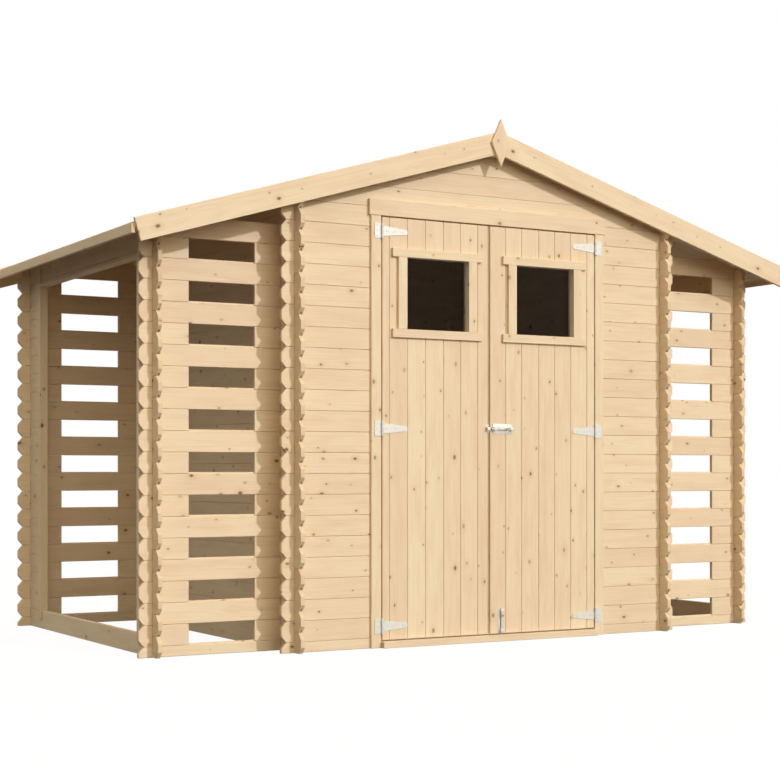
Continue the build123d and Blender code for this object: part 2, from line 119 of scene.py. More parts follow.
# %% Lamp
LAMP_SIDE = Vector((0.44, -1.1, 0.51))
lamp_data = bpy.data.lights.new("broad lamp", "SUN")
lamp_data.energy = 1.48
lamp_data.angle = math.radians(2)
lamp_data.color = linear("F6F8FF")[:3]
lamp = bpy.data.objects.new("broad lamp", lamp_data)
lamp.rotation_euler = LAMP_SIDE.to_track_quat("Z", "Y").to_euler()
bpy.context.scene.collection.objects.link(lamp)
print("lamp stands towards", [round(v, 2) for v in LAMP_SIDE])


# %% Sky
def background_rays(tree):
    """1 for rays that come from the camera, a mirror or a pane, 0 for light that fills the scene."""
    path = add(tree, "ShaderNodeLightPath")
    seen = add(tree, "ShaderNodeMath", {0: path.outputs["Is Camera Ray"], 1: path.outputs["Is Glossy Ray"]},
               operation="MAXIMUM")
    return add(tree, "ShaderNodeMath", {0: seen.outputs[0], 1: path.outputs["Is Transmission Ray"]},
               operation="MAXIMUM").outputs[0]


sky = bpy.data.worlds.new("overcast sky")
bpy.context.scene.world = sky
sky.use_nodes = True
sky_tree = sky.node_tree
sky_tree.nodes.clear()
towards = add(sky_tree, "ShaderNodeTexCoord").outputs["Generated"]
way = add(sky_tree, "ShaderNodeSeparateXYZ", {0: towards})
# Sockets 1 and 2 of a Map Range are the ends of what goes in, 3 and 4 what comes out there
raised = add(sky_tree, "ShaderNodeMapRange", {"Value": way.outputs["Z"], 1: 0.05, 2: 0.5, 3: 0.04, 4: 0.80})
facing = add(sky_tree, "ShaderNodeMapRange", {"Value": way.outputs["Y"], 1: -0.75, 2: -1.0, 3: 0.0, 4: 2.9})
behind = add(sky_tree, "ShaderNodeMapRange", {"Value": way.outputs["Y"], 1: 0.55, 2: 1.0, 3: 0.0, 4: 1.3})
overcast = add(sky_tree, "ShaderNodeMath", {0: raised.outputs[0], 1: facing.outputs[0]}, operation="ADD")
overcast = add(sky_tree, "ShaderNodeMath", {0: overcast.outputs[0], 1: behind.outputs[0]}, operation="ADD")
fill = add(sky_tree, "ShaderNodeBackground", {"Color": linear("FFF8E0"), "Strength": overcast.outputs[0]})
white = add(sky_tree, "ShaderNodeBackground", {"Color": (1, 1, 1, 1), "Strength": 1.0})
mixed = add(sky_tree, "ShaderNodeMixShader", {
    0: background_rays(sky_tree), 1: fill.outputs[0], 2: white.outputs[0]})
add(sky_tree, "ShaderNodeOutputWorld", {"Surface": mixed.outputs[0]})
print("sky with", len(sky_tree.nodes), "nodes")

# %% Floor
floor_finish, floor_tree, floor_output = new_finish("matt white studio floor")
paint = add(floor_tree, "ShaderNodeBsdfDiffuse", {"Color": linear("4A4845")})
glow_strength = add(floor_tree, "ShaderNodeMath", {0: background_rays(floor_tree), 1: 0.95},
                    operation="MULTIPLY")
glow = add(floor_tree, "ShaderNodeEmission", {"Strength": glow_strength.outputs[0]})
floor_surface = add(floor_tree, "ShaderNodeAddShader", {0: paint.outputs[0], 1: glow.outputs[0]})
floor_tree.links.new(floor_surface.outputs[0], floor_output.inputs["Surface"])

bpy.ops.object.select_all(action="DESELECT")
bpy.ops.mesh.primitive_plane_add(size=160, location=(0, 40, -0.0005))
floor = bpy.context.active_object
floor.name = "studio_floor"
bpy.ops.object.transform_apply(location=True, rotation=True, scale=True)
floor.data.materials.append(floor_finish)
bpy.context.scene.view_settings.view_transform = "Standard"
print("floor", tuple(floor.dimensions))

# %% [markdown]
# ## Planed spruce
# Bare planed spruce is pale, slightly pink or yellow from board to board, with soft growth lines and
# small brown knots. A picture would have to be unwrapped over hundreds of boards. Instead each board
# carries two attributes: `grain` gives its own length, width and thickness in metres from the heart of
# a tree, and `tone` its shade. Growth rings are then true rings round that heart, so the faces show
# long lines and the cut ends show arcs, as sawn wood does.


# %% Spruce, on the faces and on the cut ends
# The rings of spruce are often 2 to 4 mm wide, which is too fine to show, so they are drawn coarser
RING = 6.5 * MM
KNOT_ALONG = 125 * MM
KNOT_ACROSS = 85 * MM


def spruce(name, pink, yellow, heart_wood, late_wood, ring_share, roughness):
    """Planed softwood from the board's own grain coordinates."""
    finish, tree, output = new_finish(name)
    grain = add(tree, "ShaderNodeAttribute", attribute_name="grain").outputs["Vector"]
    tone = add(tree, "ShaderNodeAttribute", attribute_name="tone").outputs["Fac"]
    part = add(tree, "ShaderNodeSeparateXYZ", {0: grain})
    length, width, depth = part.outputs

    # Growth rings: the distance from the heart, with the trunk's taper and a slow wander
    slow = add(tree, "ShaderNodeMapping", {"Vector": grain, "Scale": (1.6, 11, 11)})
    wander = add(tree, "ShaderNodeTexNoise", {"Vector": slow.outputs[0], "Scale": 1.0, "Detail": 2.0})
    section = add(tree, "ShaderNodeCombineXYZ", {"Y": width, "Z": depth})
    heart = add(tree, "ShaderNodeVectorMath", {0: section.outputs[0]}, operation="LENGTH").outputs["Value"]
    tapered = add(tree, "ShaderNodeMath", {0: length, 1: 0.011, 2: heart}, operation="MULTIPLY_ADD")
    moved = add(tree, "ShaderNodeMath", {0: wander.outputs["Fac"], 1: 0.03, 2: tapered.outputs[0]},
                operation="MULTIPLY_ADD")
    years = add(tree, "ShaderNodeMath", {0: moved.outputs[0], 1: 1 / RING}, operation="MULTIPLY")
    year = add(tree, "ShaderNodeMath", {0: years.outputs[0]}, operation="FRACT").outputs[0]
    late = add(tree, "ShaderNodeMapRange", {"Value": year, 1: 0.35, 2: 0.95, 3: 0.0, 4: 1.0},
               interpolation_type="SMOOTHSTEP").outputs[0]

    # Fibres: streaks some 4 mm apart, coarser than real ones so that they show, and broad clouds of colour
    fine = add(tree, "ShaderNodeMapping", {"Vector": grain, "Scale": (3.5, 230, 230)})
    fibre = add(tree, "ShaderNodeTexNoise", {"Vector": fine.outputs[0], "Scale": 1.0, "Detail": 3.0})
    fibre = fibre.outputs["Fac"]
    broad = add(tree, "ShaderNodeMapping", {"Vector": grain, "Scale": (2.2, 24, 24)})
    cloud = add(tree, "ShaderNodeTexNoise", {"Vector": broad.outputs[0], "Scale": 1.0, "Detail": 2.0})
    cloud = cloud.outputs["Fac"]

    # Knots: one chance in each cell along the board, of its own size
    along = add(tree, "ShaderNodeMath", {0: length, 1: 1 / KNOT_ALONG}, operation="MULTIPLY").outputs[0]
    across = add(tree, "ShaderNodeMath", {0: width, 1: 1 / KNOT_ACROSS}, operation="MULTIPLY").outputs[0]
    place = add(tree, "ShaderNodeCombineXYZ", {"X": along, "Y": across}).outputs[0]
    cell = add(tree, "ShaderNodeTexVoronoi", {"Vector": place, "Scale": 1.0}, voronoi_dimensions="2D")
    chance = add(tree, "ShaderNodeSeparateColor", {0: cell.outputs["Color"]})
    kept = add(tree, "ShaderNodeMath", {0: chance.outputs[0], 1: 0.5}, operation="LESS_THAN").outputs[0]
    strength = add(tree, "ShaderNodeMapRange", {"Value": chance.outputs[2], 3: 0.3, 4: 1.0}).outputs[0]
    kept = add(tree, "ShaderNodeMath", {0: kept, 1: strength}, operation="MULTIPLY").outputs[0]
    mostly_small = add(tree, "ShaderNodeMath", {0: chance.outputs[1], 1: 2.0}, operation="POWER").outputs[0]
    size = add(tree, "ShaderNodeMapRange", {"Value": mostly_small, 3: 0.032, 4: 0.095}).outputs[0]
    reach = add(tree, "ShaderNodeMath", {0: cell.outputs["Distance"], 1: size}, operation="DIVIDE")
    reach = reach.outputs[0]
    core = add(tree, "ShaderNodeMapRange", {"Value": reach, 1: 0.55, 2: 1.15, 3: 1.0, 4: 0.0}).outputs[0]
    ring = add(tree, "ShaderNodeMapRange", {"Value": reach, 1: 0.8, 2: 3.6, 3: 0.4, 4: 0.0}).outputs[0]
    knot = add(tree, "ShaderNodeMath", {0: core, 1: kept}, operation="MULTIPLY").outputs[0]
    halo = add(tree, "ShaderNodeMath", {0: ring, 1: kept}, operation="MULTIPLY").outputs[0]

    # Colour: pink or yellow by board, with blushes, rings, fibres and knots laid over it. Sockets 6 and 7
    # of a colour Mix are its two colours
    def tinted(share, below, above):
        colours = {0: share, 6: below, 7: linear(above)}
        return add(tree, "ShaderNodeMix", colours, data_type="RGBA").outputs[2]

    amount = add(tree, "ShaderNodeMapRange", {"Value": cloud, 1: 0.3, 2: 0.75, 3: 0.25, 4: 1.0}).outputs[0]
    lines = add(tree, "ShaderNodeMath", {0: late, 1: amount}, operation="MULTIPLY").outputs[0]
    lines = add(tree, "ShaderNodeMath", {0: lines, 1: ring_share}, operation="MULTIPLY").outputs[0]
    patch = add(tree, "ShaderNodeMapping", {"Vector": grain, "Scale": (4.5, 22, 22)})
    blush = add(tree, "ShaderNodeTexNoise", {"Vector": patch.outputs[0], "Scale": 1.0, "Detail": 3.0})
    flush = add(tree, "ShaderNodeMapRange", {
        "Value": blush.outputs["Fac"], 1: 0.45, 2: 0.75, 3: 0.0, 4: 0.5})
    streak = add(tree, "ShaderNodeMapRange", {"Value": fibre, 1: 0.5, 2: 0.8, 3: 0.0, 4: 0.35}).outputs[0]
    wood = tinted(tone, linear(pink), yellow)
    wood = tinted(flush.outputs[0], wood, heart_wood)
    wood = tinted(lines, wood, late_wood)
    wood = tinted(streak, wood, late_wood)
    wood = tinted(halo, wood, "CDA97B")
    wood = tinted(knot, wood, "7C5833")

    height = add(tree, "ShaderNodeMath", {0: late, 1: 0.6, 2: fibre}, operation="MULTIPLY_ADD").outputs[0]
    bump = add(tree, "ShaderNodeBump", {"Strength": 0.35, "Distance": 0.25 * MM, "Height": height})
    # Planing leaves the fibres a little glossier and duller by turns
    gloss = add(tree, "ShaderNodeMapRange", {
        "Value": fibre, 1: 0.3, 2: 0.7, 3: roughness - 0.07, 4: roughness + 0.07})
    shader = add(tree, "ShaderNodeBsdfPrincipled", {
        "Base Color": wood, "Roughness": gloss.outputs[0], "Normal": bump.outputs[0],
        "IOR": 1.5, "Specular IOR Level": 0.3})
    tree.links.new(shader.outputs[0], output.inputs["Surface"])
    return finish


face_grain = spruce("planed spruce", "E8CEB1", "EFDABA", "E0BE9D", "D2B08A", 0.16, 0.62)
end_grain = spruce("sawn spruce end grain", "E4CAAA", "EBD4B2", "DDBD99", "C9A579", 0.45, 0.75)
print("finishes:", face_grain.name, "and", end_grain.name)

# %% [markdown]
# ## Galvanised steel
# The hinges and bolts are bright zinc-plated steel. Zinc is a metal, so its colour comes from its
# reflection, and a cloudiness in colour and gloss keeps it from looking like a mirror. The crystals of thin
# zinc are a millimetre or less; they are drawn 5 mm wide, so that they show.

# %% Galvanised steel
steel, steel_tree, steel_output = new_finish("bright galvanised steel")
steel_place = add(steel_tree, "ShaderNodeTexCoord").outputs["Object"]
spangle = add(steel_tree, "ShaderNodeTexVoronoi", {"Vector": steel_place, "Scale": 1 / (5 * MM)})
cloudy = add(steel_tree, "ShaderNodeTexNoise", {
    "Vector": steel_place, "Scale": 1 / (12 * MM), "Detail": 3.0})
zinc = add(steel_tree, "ShaderNodeMix", {
    0: cloudy.outputs["Fac"], 6: linear("CAC5BA"), 7: linear("DAD6CC")}, data_type="RGBA")
spots = add(steel_tree, "ShaderNodeSeparateColor", {0: spangle.outputs["Color"]})
dull = add(steel_tree, "ShaderNodeMapRange", {"Value": spots.outputs[0], 3: 0.48, 4: 0.6})
steel_shader = add(steel_tree, "ShaderNodeBsdfPrincipled", {
    "Base Color": zinc.outputs[2], "Roughness": dull.outputs[0], "Metallic": 0.55})
steel_tree.links.new(steel_shader.outputs[0], steel_output.inputs["Surface"])
print("finish:", steel.name)

# %% [markdown]
# ## Window glass
# The panes are clear float glass in front of a dark room. They look almost black because little light comes
# back from inside, and because their reflection is tinted dark brown, which is a painted dark reflection.

# %% Clear float glass
glass, glass_tree, glass_output = new_finish("clear float glass")
glass_place = add(glass_tree, "ShaderNodeTexCoord").outputs["Object"]
film = add(glass_tree, "ShaderNodeTexNoise", {
    "Vector": glass_place, "Scale": 1 / (40 * MM), "Detail": 3.0})
wiped = add(glass_tree, "ShaderNodeMapRange", {
    "Value": film.outputs["Fac"], 1: 0.4, 2: 0.8, 3: 0.0, 4: 0.05})
# Specular Tint 4A3F38 is a painted dark reflection: it darkens and browns whatever the pane mirrors
glass_shader = add(glass_tree, "ShaderNodeBsdfPrincipled", {
    "Base Color": linear("D8DAD6"), "Roughness": wiped.outputs[0], "IOR": 1.45, "Transmission Weight": 1.0,
    "Specular Tint": linear("4A3F38")})
glass_tree.links.new(glass_shader.outputs[0], glass_output.inputs["Surface"])
print("finish:", glass.name)

# %% [markdown]
# ## Taking a CAD node into Blender
# A CAD node arrives as loose triangles. Its copy is merged and the triangles on one plane are dissolved
# into single faces, so that a bevel finds the real edges. A planed board has its edges eased by a
# millimetre or two, and that helps to draw the thin line between two logs.

# %% Helpers that copy, ease and mark boards
# How squarely a face has to look along its board to be end grain; the tapers of the log ends count too
END_FACE = 0.6


def select_only(piece):
    """Makes a piece the only selected and the active one."""
    bpy.ops.object.select_all(action="DESELECT")
    piece.select_set(True)
    bpy.context.view_layer.objects.active = piece


def copy_of(node, name):
    """A copy of a CAD node with whole faces instead of loose triangles."""
    piece = bpy.data.objects.new(name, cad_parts[node].data.copy())
    piece.data.materials.clear()
    bpy.context.scene.collection.objects.link(piece)
    select_only(piece)
    bpy.ops.mesh.customdata_custom_splitnormals_clear()
    bpy.ops.object.mode_set(mode="EDIT")
    bpy.ops.mesh.select_all(action="SELECT")
    bpy.ops.mesh.remove_doubles(threshold=0.02 * MM)
    bpy.ops.mesh.dissolve_limited(angle_limit=math.radians(0.5))
    bpy.ops.object.mode_set(mode="OBJECT")
    return piece


def ease(piece, width, segments=1, sharper_than=12):
    """Bevels every edge of a piece that turns by more than an angle in degrees."""
    select_only(piece)
    bevel = piece.modifiers.new("eased edges", "BEVEL")
    bevel.width = width
    bevel.segments = segments
    bevel.limit_method = "ANGLE"
    bevel.angle_limit = math.radians(sharper_than)
    bevel.use_clamp_overlap = True
    bpy.ops.object.modifier_apply(modifier=bevel.name)
    return piece


def islands_of(mesh):
    """The number of the separate board that each vertex belongs to."""
    label = np.arange(len(mesh.vertices))
    ends = np.empty(len(mesh.edges) * 2, np.int64)
    mesh.edges.foreach_get("vertices", ends)
    first, second = ends.reshape(-1, 2).T
    while True:
        low = np.minimum(label[first], label[second])
        before = label.copy()
        np.minimum.at(label, first, low)
        np.minimum.at(label, second, low)
        label = label[label]
        if (label == before).all():
            return label


def mark_boards(piece, run=None, through=None, draw=0):
    """Gives every board of a piece its grain coordinates, its tone and its end-grain faces.

    The grain runs along a board's longest side and its knots go through the thinnest, unless told. Another
    draw cuts the boards from another place in the tree.
    """
    mesh = piece.data
    rng = np.random.default_rng(zlib.crc32(piece.name.encode()) + draw)
    places = np.empty(len(mesh.vertices) * 3)
    mesh.vertices.foreach_get("co", places)
    places = places.reshape(-1, 3)
    label = islands_of(mesh)
    grain = np.zeros_like(places)
    tone = np.zeros(len(places))
    runs = np.zeros_like(places)
    for board in np.unique(label):
        mine = label == board
        points = places[mine]
        spread = np.ptp(points, axis=0)
        along = np.array(run) if run is not None else np.eye(3)[spread.argmax()]
        along = along / np.linalg.norm(along)
        others = [axis for axis in np.eye(3)[np.argsort(spread)] if abs(axis @ along) < 0.7]
        thin = others[0] if through is None else np.array(through)
        thin = thin - (thin @ along) * along
        thin = thin / np.linalg.norm(thin)
        across = np.cross(along, thin)
        # Each board is cut from its own place in the tree
        rest = points - points.mean(axis=0)
        grain[mine, 0] = rest @ along + rng.uniform(0, 30)
        grain[mine, 1] = rest @ across + rng.uniform(-0.04, 0.04)
        grain[mine, 2] = rest @ thin + rng.uniform(0.02, 0.09)
        tone[mine] = rng.beta(1.6, 1.4)
        runs[mine] = along
    store = mesh.attributes.new("grain", "FLOAT_VECTOR", "POINT")
    store.data.foreach_set("vector", grain.ravel())
    store = mesh.attributes.new("tone", "FLOAT", "POINT")
    store.data.foreach_set("value", tone)
    mesh.materials.clear()
    mesh.materials.append(face_grain)
    mesh.materials.append(end_grain)
    for face in mesh.polygons:
        is_end = abs(np.dot(face.normal, runs[face.vertices[0]])) > END_FACE
        face.material_index = int(is_end)
    return len(np.unique(label))


def plank(name, low, high):
    """A board from one cube, sized and placed, with its place in its mesh."""
    bpy.ops.object.select_all(action="DESELECT")
    middle = [(a + b) / 2 for a, b in zip(low, high)]
    bpy.ops.mesh.primitive_cube_add(size=1, location=middle, scale=[b - a for a, b in zip(low, high)])
    board = bpy.context.active_object
    board.name = name
    bpy.ops.object.transform_apply(location=True, rotation=True, scale=True)
    return board


def joined(pieces, name):
    """Several pieces as one object."""
    bpy.ops.object.select_all(action="DESELECT")
    for piece in pieces:
        piece.select_set(True)
    bpy.context.view_layer.objects.active = pieces[0]
    bpy.ops.object.join()
    pieces[0].name = name
    return pieces[0]


def cut_out(piece, tool):
    """Takes a tool's shape out of a piece and throws the tool away."""
    select_only(piece)
    cut = piece.modifiers.new("cut", "BOOLEAN")
    cut.operation = "DIFFERENCE"
    cut.object = tool
    bpy.ops.object.modifier_apply(modifier=cut.name)
    bpy.data.objects.remove(tool)


def fit(piece, body, slot, *nodes):
    """Hands a finished piece to its body and hides the CAD nodes it stands for; the slot is not used."""
    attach(piece, body)
    if nodes:
        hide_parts(*nodes)
    return piece


print("helpers ready")

# %% [markdown]
# ## Log joints
# The logs are tongue and groove. In the slots of the stores the tongue of the slat below stands open, and
# under every tapered log end its groove shows as a small dark hole. The shoulders of two logs don't quite
# meet either, which draws the fine line along a wall. All that is too small for the CAD logs. A tongue is a
# thin board, and the rest is cut with bars: one cube is copied and stretched, and a Boolean takes out all
# the bars of a wall at once.

# %% Tongues in the slots of the stores
COURSE = 88 * MM
SLOT_INNER, SLOT_OUTER = 1.096, 1.394
SLOTS = 10
SLAT_TONGUE_THICK, SLAT_TONGUE_HIGH = 6 * MM, 6 * MM
ROOTED = 1 * MM


def slot_tongues(node):
    """The tongue along the top of each slat, which stands open in the slot above it."""
    low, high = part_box(node)
    middle = (low.y + high.y) / 2
    front, back = middle - SLAT_TONGUE_THICK / 2, middle + SLAT_TONGUE_THICK / 2
    outwards = -1 if low.x < 0 else 1
    start, end = sorted((outwards * SLOT_INNER, outwards * SLOT_OUTER))
    tongues = []
    for number in range(SLOTS):
        shoulder = (2 * number + 0.5) * COURSE
        tongue = plank("tongue", (start, front, shoulder - ROOTED),
                       (end, back, shoulder + SLAT_TONGUE_HIGH))
        tongues.append(ease(tongue, 0.8 * MM))
    return tongues


print(SLOTS, "slots in each store panel")

# %% Bars that cut grooves and seams
GROOVE_WIDTH, GROOVE_DEPTH, GROOVE_REACH = 8 * MM, 10 * MM, 30 * MM
SHOULDER_GAP, SHOULDER = 0.8 * MM, 5 * MM
LEAST_TAPER = 8 * MM
# A bar stands out past the face or end it cuts, and a shoulder's bar stops short of the log's ends
PAST_FACE, PAST_END, SHORT = 1 * MM, 3 * MM, 1 * MM
# The bars start in the middle of the 0.4 mm that parts two courses
BELOW = 0.2 * MM
block = plank("cutting block", (-0.5, -0.5, -0.5), (0.5, 0.5, 0.5))


def cutting_bar(low, high):
    """A copy of the block, stretched from one corner to the other."""
    bar = block.copy()
    bar.data = block.data.copy()
    bpy.context.scene.collection.objects.link(bar)
    for vertex in bar.data.vertices:
        vertex.co = [a + (b - a) * (v + 0.5) for a, b, v in zip(low, high, vertex.co)]
    return bar


def joints_of(points):
    """What is cut from one log: its run, and start, end, span across and depth of each cut."""
    low, high = points.min(axis=0), points.max(axis=0)
    run = int((high - low).argmax())
    stands_up = run == 2
    on_ground = low[2] < 1 * MM
    if stands_up or on_ground:
        return run, []
    side = 1 - run
    middle = (low[side] + high[side]) / 2
    groove = (middle - GROOVE_WIDTH / 2, middle + GROOVE_WIDTH / 2)
    cuts = []
    for face, inwards in ((low[side], 1), (high[side], -1)):
        shoulder = sorted((face - inwards * PAST_FACE, face + inwards * SHOULDER))
        cuts.append((low[run] + SHORT, high[run] - SHORT, shoulder, SHOULDER_GAP))
    for end, inwards in ((low[run], 1), (high[run], -1)):
        tip = points[abs(points[:, run] - end) < 0.5 * MM]
        if tip[:, 2].min() - low[2] > LEAST_TAPER:
            start, stop = sorted((end - inwards * PAST_END, end + inwards * GROOVE_REACH))
            cuts.append((start, stop, groove, GROOVE_DEPTH))
    return run, cuts


def cut_joints(logs):
    """Opens the groove under each tapered log end, and a fine gap under the log's shoulders."""
    places = np.array([vertex.co for vertex in logs.data.vertices])
    label = islands_of(logs.data)
    bars = []
    for log in np.unique(label):
        points = places[label == log]
        bottom = points[:, 2].min()
        run, cuts = joints_of(points)
        for start, stop, across, depth in cuts:
            corner, far_corner = np.zeros(3), np.zeros(3)
            corner[run], far_corner[run] = start, stop
            corner[1 - run], far_corner[1 - run] = across
            corner[2], far_corner[2] = bottom - BELOW, bottom + depth
            bars.append(cutting_bar(corner, far_corner))
    cut_out(logs, joined(bars, "joint tool"))


print("cutting block ready")

# %% [markdown]
# ## Log walls
# The interlocking corner is in the CAD logs already: notches, tapered ends and courses half a step out
# between neighbouring walls. Each wall is copied, its log edges are eased and its joints are cut, and every
# log becomes a board of its own with its own grain.

# %% Shed walls and log stores
EASED_LOG = 2.0 * MM
wall_nodes = ["front_wall_left", "front_wall_right", "front_gable", "back_wall"]
for side in ("left", "right"):
    wall_nodes += [side + "_" + wall for wall in
                   ("partition", "store_front", "store_back", "store_side", "opening_frame")]
for node in wall_nodes:
    logs = ease(copy_of(node, node + "_logs"), EASED_LOG)
    if not node.endswith("opening_frame"):
        cut_joints(logs)
    if node.endswith(("store_front", "store_back")):
        logs = joined([logs] + slot_tongues(node), node + "_logs")
    count = mark_boards(logs)
    fit(logs, "building", "log_wood", node)
    print(node, count, "boards,", len(logs.data.polygons), "faces")
bpy.data.objects.remove(block)

# %% [markdown]
# ## Roof boards
# The roof is a deck of boards that run from the ridge to the eaves. One board is cut off the CAD slope
# with a bisect, so it has the right pitch and plumb ends, and is then copied along the ridge. The
# ends at the eaves are uneven by a few millimetres, as a hand-nailed deck is, behind the eave strip.

# %% Roof boards
DECK_BOARDS = 23
SLOPE = 0.297
DECK_GAP = 0.7 * MM
EAVE_END = 30 * MM
MOST_SHORT = 4 * MM


def deck(side):
    """The boards of one roof slope."""
    node = side + "_roof"
    low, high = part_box(node)
    step = (high.y - low.y) / DECK_BOARDS
    board = copy_of(node, side + "_roof_board")
    bpy.ops.object.mode_set(mode="EDIT")
    bpy.ops.mesh.select_all(action="SELECT")
    bpy.ops.mesh.bisect(plane_co=(0, low.y + step - DECK_GAP, 0), plane_no=(0, 1, 0),
                        clear_outer=True, use_fill=True)
    bpy.ops.object.mode_set(mode="OBJECT")
    ease(board, 1.5 * MM)
    rng = np.random.default_rng(7)
    outer = low.x if side == "left" else high.x
    boards = [board]
    for number in range(1, DECK_BOARDS):
        copied = board.copy()
        copied.data = board.data.copy()
        bpy.context.scene.collection.objects.link(copied)
        short = rng.uniform(0, MOST_SHORT)
        for vertex in copied.data.vertices:
            vertex.co.y += number * step
            if abs(vertex.co.x - outer) < EAVE_END:
                vertex.co.x += short if side == "left" else -short
                vertex.co.z += short * SLOPE
        boards.append(copied)
    board = joined(boards, side + "_roof_boards")
    rise = -1 if side == "right" else 1
    count = mark_boards(board, run=(1, 0, SLOPE * rise), through=(0, 0, 1))
    fit(board, "building", "roof_wood", node)
    print(board.name, count, "boards")


deck("left")
deck("right")

# %% [markdown]
# ## Gable boards, finials, eave strips and ridge beam
# These are single boards, so their CAD shape is kept and only the edges are eased. The grain of a gable
# board follows its slope, which the marker has to be told.

# %% Boards round the roof
for side, rise in (("left", 1), ("right", -1)):
    for end in ("front", "back"):
        barge = ease(copy_of(f"{side}_{end}_barge", f"{side}_{end}_gable_board"), 2 * MM, 2)
        mark_boards(barge, run=(1, 0, SLOPE * rise))
        fit(barge, "building", "roof_wood", f"{side}_{end}_barge")
    strip = ease(copy_of(side + "_eave_strip", side + "_eave_board"), 2 * MM, 2)
    mark_boards(strip)
    fit(strip, "building", "roof_wood", side + "_eave_strip")
for node in ("front_finial", "back_finial", "ridge_beam"):
    board = ease(copy_of(node, node + "_board"), 2 * MM, 2)
    mark_boards(board, draw=2)
    fit(board, "building", "roof_wood", node)
print("gable boards, finials, strips and beam eased")

# %% [markdown]
# ## Door frame
# Posts, header and sill are moulded lengths of the same spruce, a little rounder on their edges.

# %% Door frame
for node in ("left_door_post", "right_door_post", "door_header", "door_sill"):
    board = ease(copy_of(node, node + "_board"), 2 * MM, 2)
    mark_boards(board, through=(0, 1, 0))
    fit(board, "building", "frame_wood", node)
print("door frame eased")

# %% [markdown]
# ## Door leaves
# A ledged door is a row of upright boards nailed to ledges behind. The CAD leaf is one sheet, so the
# boards are made here: a cube is sized to each board between the seams measured on the photograph, and the
# window is cut through all of them with a Boolean. The tongue at the meeting edge lies in the shade.

# %% Door boards and ledges
LEAF_SEAMS = {
    "left": [-0.528, -0.438, -0.347, -0.255, -0.167, -0.078],
    "right": [0.071, 0.157, 0.251, 0.339, 0.429, 0.520],
}
LEAF_THICKNESS = 19 * MM
SEAM = 1.2 * MM
GLASS_LAP = 8.7 * MM
TONGUE_WIDE, TONGUE_THICK = 6.5 * MM, 6 * MM
TONGUE_SET_BACK = 4 * MM
LEDGES = (0.062, 0.9692, 1.729)
LEDGE_HEIGHT, LEDGE_INSET = 90 * MM, 32 * MM
CUT_BEFORE, CUT_BEHIND = 0.05, 0.01


def ledged_leaf(side):
    """One door leaf: upright boards, the window cut through them, and three ledges behind."""
    low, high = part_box(side + "_leaf")
    pane_low, pane_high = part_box(side + "_window_glass")
    first = low.x + TONGUE_WIDE if side == "right" else low.x
    edges = [first] + LEAF_SEAMS[side] + [high.x]
    back = low.y + LEAF_THICKNESS
    boards = []
    for left, right in zip(edges, edges[1:]):
        board = plank("upright", (left + SEAM / 2, low.y, low.z), (right - SEAM / 2, back, high.z))
        boards.append(board)
    if side == "right":
        middle = low.y + LEAF_THICKNESS / 2 + TONGUE_SET_BACK
        boards.append(plank("tongue", (low.x, middle - TONGUE_THICK / 2, low.z),
                            (low.x + TONGUE_WIDE, middle + TONGUE_THICK / 2, high.z)))
    sheet = joined(boards, side + "_leaf_boards")
    lap = GLASS_LAP
    cut_out(sheet, plank("window", (pane_low.x + lap, low.y - CUT_BEFORE, pane_low.z + lap),
                         (pane_high.x - lap, back + CUT_BEHIND, pane_high.z - lap)))
    ease(sheet, 2.2 * MM)
    ledges = []
    for bottom in LEDGES:
        ledge = plank("ledge", (first + LEDGE_INSET, back, bottom),
                      (high.x - LEDGE_INSET, high.y, bottom + LEDGE_HEIGHT))
        ledges.append(ease(ledge, 3 * MM, 2))
    leaf = joined([sheet] + ledges, side + "_leaf_boards")
    count = mark_boards(leaf)
    fit(leaf, side + "_door", "door_wood", side + "_leaf")
    print(leaf.name, count, "boards, leaf", [round(v, 4) for v in (low.x, high.x, low.z, high.z)])


ledged_leaf("left")
ledged_leaf("right")

# %% [markdown]
# ## Windows
# Four trim boards cover the window's edge in front, the top and bottom ones running past the sides. Behind
# the door boards a second ring with a rebate holds the pane. They are separate boards on the real door, so
# they are made separately here, and the joints between them show.

# %% Window trims and panes
TRIM = 14 * MM
SIDE_WIDTH, RAIL_HEIGHT, OVERHANG = 43 * MM, 37 * MM, 29 * MM
PANE_ROOM = 4.3 * MM
TRIM_SEAM = 0.2 * MM


def trim_ring(opening, front, back, overhang, rebate=0.0):
    """Four boards round an opening. With a rebate their front edge makes room for the pane."""
    left, low, right, high = opening
    boards = []
    for bottom, top in ((low - RAIL_HEIGHT, low), (high, high + RAIL_HEIGHT)):
        boards.append(plank("rail", (left - SIDE_WIDTH - overhang, front, bottom),
                            (right + SIDE_WIDTH + overhang, back, top)))
    for start, end in ((left - SIDE_WIDTH, left), (right, right + SIDE_WIDTH)):
        boards.append(plank("side", (start, front, low + TRIM_SEAM), (end, back, high - TRIM_SEAM)))
    lap = GLASS_LAP + TRIM_SEAM
    for board in boards:
        if rebate:
            cut_out(board, plank("room", (left - lap, front - TRIM, low - lap),
                                 (right + lap, front + rebate, high + lap)))
        ease(board, 1.2 * MM, 2)
    return boards


for side in ("left", "right"):
    trim_low, trim_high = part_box(side + "_window_frame")
    pane_low, pane_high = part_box(side + "_window_glass")
    opening = (pane_low.x + GLASS_LAP, pane_low.z + GLASS_LAP,
               pane_high.x - GLASS_LAP, pane_high.z - GLASS_LAP)
    front_ring = trim_ring(opening, trim_low.y, trim_low.y + TRIM, OVERHANG)
    back_ring = trim_ring(opening, trim_high.y - TRIM, trim_high.y, 0.0, rebate=PANE_ROOM)
    window = joined(front_ring + back_ring, side + "_window_trim")
    count = mark_boards(window)
    fit(window, side + "_door", "frame_wood", side + "_window_frame")
    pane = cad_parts[side + "_window_glass"]
    pane.data.materials.clear()
    pane.data.materials.append(glass)
    print(window.name, count, "boards, pane", [round(b - a, 3) for a, b in zip(pane_low, pane_high)])

